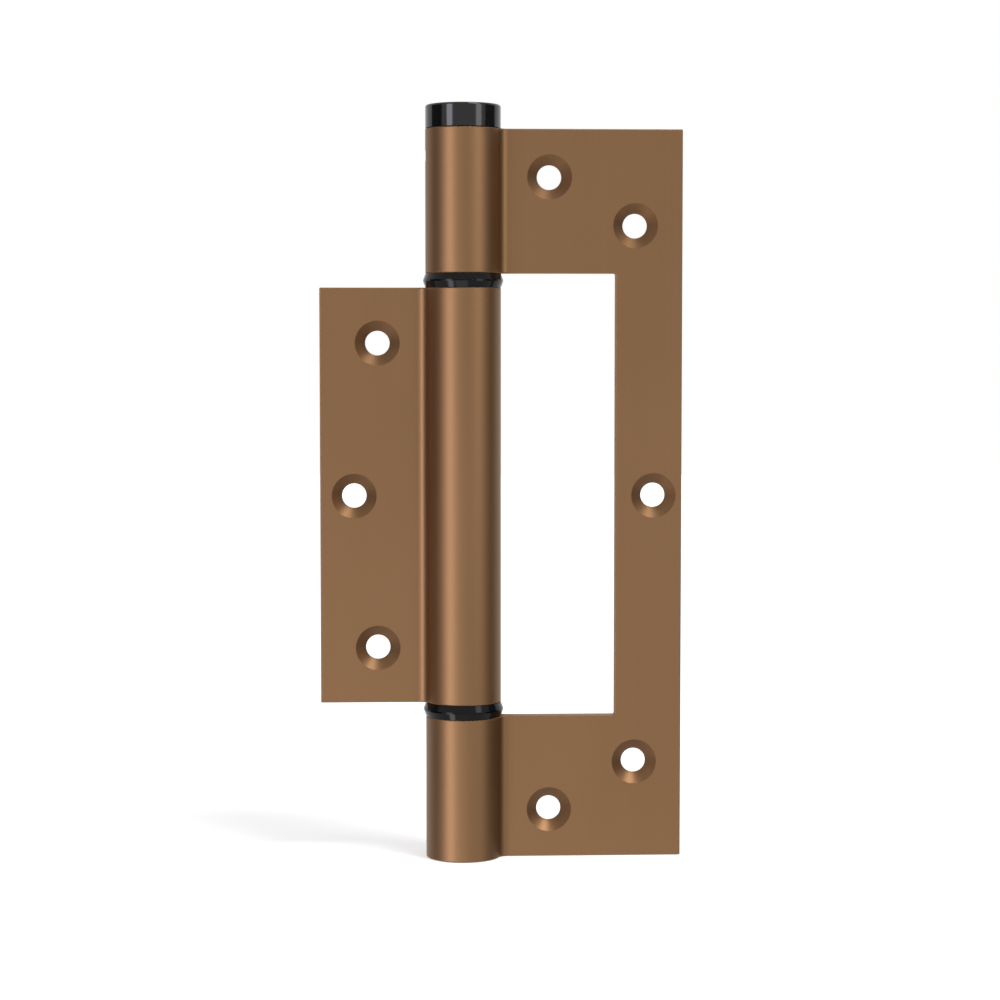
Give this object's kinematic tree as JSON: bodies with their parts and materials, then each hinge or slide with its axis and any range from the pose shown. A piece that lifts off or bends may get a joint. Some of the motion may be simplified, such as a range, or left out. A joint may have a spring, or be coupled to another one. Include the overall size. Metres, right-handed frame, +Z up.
{
  "type": "single action spring hinge",
  "caption": "Self-closing door hinge with two interfolding flat leaves, a sprung barrel, a tension cap and countersunk screw holes.",
  "frame": {"origin": "on the pivot axis, at the middle of the leaves' height", "axes": "+Z up along the pivot axis to the tension cap, +X along the frame leaf, +Y to the back faces that lie on the jamb and the door; the countersinks face -Y"},
  "size_m": [0.0769, 0.017, 0.16],
  "materials": {
    "bronze_aluminium": "satin bronze anodised extrusion",
    "bush_plastic": "black moulded acetal, glossy",
    "cap_plastic": "black moulded cap, glossy",
    "plated_steel": "turned steel, bright zinc plated",
    "black_steel": "blackened steel set screw",
    "spring_steel": "oil tempered spring wire"
  },
  "bodies": {
    "frame": {"frame_leaf": "bronze_aluminium", "upper_frame_bush": "bush_plastic", "lower_frame_bush": "bush_plastic", "lower_spindle": "plated_steel", "hinge_pin": "plated_steel", "cross_pin": "plated_steel", "thrust_washer": "plated_steel", "retaining_ring": "spring_steel"},
    "door": {"door_leaf": "bronze_aluminium", "upper_door_bush": "bush_plastic", "lower_door_bush": "bush_plastic", "spring_anchor": "plated_steel", "torsion_spring": "spring_steel"},
    "adjuster": {"tension_adjuster": "plated_steel", "tension_cap": "cap_plastic"},
    "lock": {"lock_screw": "black_steel"}
  },
  "joints": [
    {"name": "leaf_swing", "type": "hinge", "parent": "frame", "child": "door", "pos_m": [0, 0, 0], "axis": [0, 0, 1], "range_deg": [0, 180], "stiffness_Nm_per_rad": 0.17, "springref_deg": 180, "deforming": ["torsion_spring"]},
    {"name": "tension_adjust", "type": "hinge", "parent": "frame", "child": "adjuster", "pos_m": [0, 0, 0], "axis": [0, 0, 1], "range_deg": [0, 180], "deforming": ["torsion_spring"]},
    {"name": "lock_screw_travel", "type": "slide", "parent": "frame", "child": "lock", "axis": [1, 0, 0], "range_m": [0, 0.001]}
  ]
}
